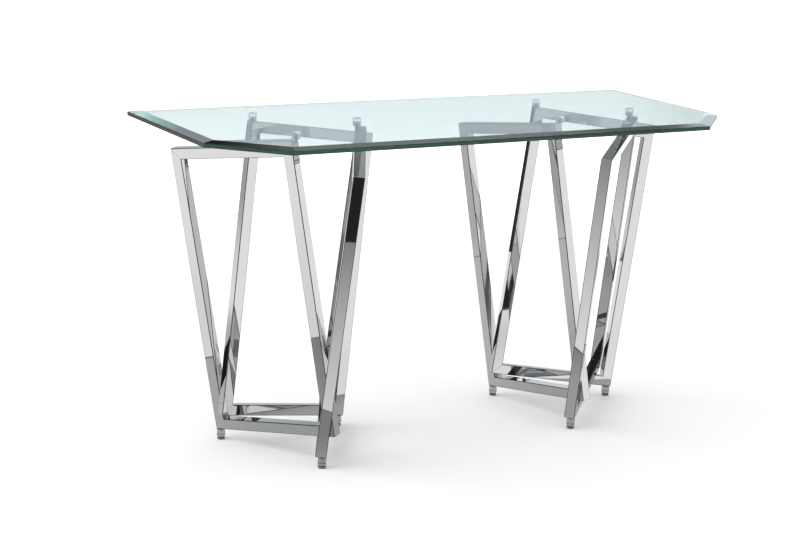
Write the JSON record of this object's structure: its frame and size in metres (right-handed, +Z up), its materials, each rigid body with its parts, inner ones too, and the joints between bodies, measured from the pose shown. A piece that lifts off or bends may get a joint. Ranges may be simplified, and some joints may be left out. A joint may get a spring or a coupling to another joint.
{
  "type": "console table",
  "caption": "Console table: a bevelled clear glass top with clipped front corners, loose on clear bumpers over chromed pedestals of leaning tube frames with screw-in glides.",
  "frame": {"origin": "on the floor below the middle of the glass", "axes": "+X along the length, +Y to the back, +Z up; the clipped corners are at -Y"},
  "size_m": [1.35, 0.56, 0.762],
  "materials": {
    "top_glass": "polished",
    "polished_chrome": "mirror polished",
    "satin_chrome": "satin",
    "zinc_steel": "zinc plated",
    "clear_plastic": "clear moulded",
    "grey_plastic": "moulded"
  },
  "bodies": {
    "pedestals": {"left_frame1_foot_leg": "polished_chrome", "left_frame1_end_leg": "polished_chrome", "left_frame1_top_bar": "polished_chrome", "left_frame1_bottom_bar": "polished_chrome", "left_frame2_foot_leg": "polished_chrome", "left_frame2_end_leg": "polished_chrome", "left_frame2_top_bar": "polished_chrome", "left_frame2_bottom_bar": "polished_chrome", "left_frame3_foot_leg": "polished_chrome", "left_frame3_end_leg": "polished_chrome", "left_frame3_top_bar": "polished_chrome", "left_frame3_bottom_bar": "polished_chrome", "right_frame1_foot_leg": "polished_chrome", "right_frame1_end_leg": "polished_chrome", "right_frame1_top_bar": "polished_chrome", "right_frame1_bottom_bar": "polished_chrome", "right_frame2_foot_leg": "polished_chrome", "right_frame2_end_leg": "polished_chrome", "right_frame2_top_bar": "polished_chrome", "right_frame2_bottom_bar": "polished_chrome", "right_frame3_foot_leg": "polished_chrome", "right_frame3_end_leg": "polished_chrome", "right_frame3_top_bar": "polished_chrome", "right_frame3_bottom_bar": "polished_chrome", "left_bumper_pin1": "zinc_steel", "left_bumper1": "clear_plastic", "left_glide_insert1": "zinc_steel", "left_bumper_pin2": "zinc_steel", "left_bumper2": "clear_plastic", "left_glide_insert2": "zinc_steel", "left_bumper_pin3": "zinc_steel", "left_bumper3": "clear_plastic", "left_glide_insert3": "zinc_steel", "right_bumper_pin1": "zinc_steel", "right_bumper1": "clear_plastic", "right_glide_insert1": "zinc_steel", "right_bumper_pin2": "zinc_steel", "right_bumper2": "clear_plastic", "right_glide_insert2": "zinc_steel", "right_bumper_pin3": "zinc_steel", "right_bumper3": "clear_plastic", "right_glide_insert3": "zinc_steel"},
    "glass": {"glass_top": "top_glass"},
    "left_foot1": {"left_glide1": "satin_chrome", "left_glide_pad1": "grey_plastic"},
    "left_foot2": {"left_glide2": "satin_chrome", "left_glide_pad2": "grey_plastic"},
    "left_foot3": {"left_glide3": "satin_chrome", "left_glide_pad3": "grey_plastic"},
    "right_foot1": {"right_glide1": "satin_chrome", "right_glide_pad1": "grey_plastic"},
    "right_foot2": {"right_glide2": "satin_chrome", "right_glide_pad2": "grey_plastic"},
    "right_foot3": {"right_glide3": "satin_chrome", "right_glide_pad3": "grey_plastic"}
  },
  "joints": [
    {"name": "glass_lift", "type": "slide", "parent": "pedestals", "child": "glass", "axis": [0, 0, 1], "range_m": [0, 0.1]},
    {"name": "left_foot1_screw", "type": "slide", "parent": "pedestals", "child": "left_foot1", "axis": [0, 0, -1], "range_m": [0, 0.008]},
    {"name": "left_foot2_screw", "type": "slide", "parent": "pedestals", "child": "left_foot2", "axis": [0, 0, -1], "range_m": [0, 0.008]},
    {"name": "left_foot3_screw", "type": "slide", "parent": "pedestals", "child": "left_foot3", "axis": [0, 0, -1], "range_m": [0, 0.008]},
    {"name": "right_foot1_screw", "type": "slide", "parent": "pedestals", "child": "right_foot1", "axis": [0, 0, -1], "range_m": [0, 0.008]},
    {"name": "right_foot2_screw", "type": "slide", "parent": "pedestals", "child": "right_foot2", "axis": [0, 0, -1], "range_m": [0, 0.008]},
    {"name": "right_foot3_screw", "type": "slide", "parent": "pedestals", "child": "right_foot3", "axis": [0, 0, -1], "range_m": [0, 0.008]}
  ]
}
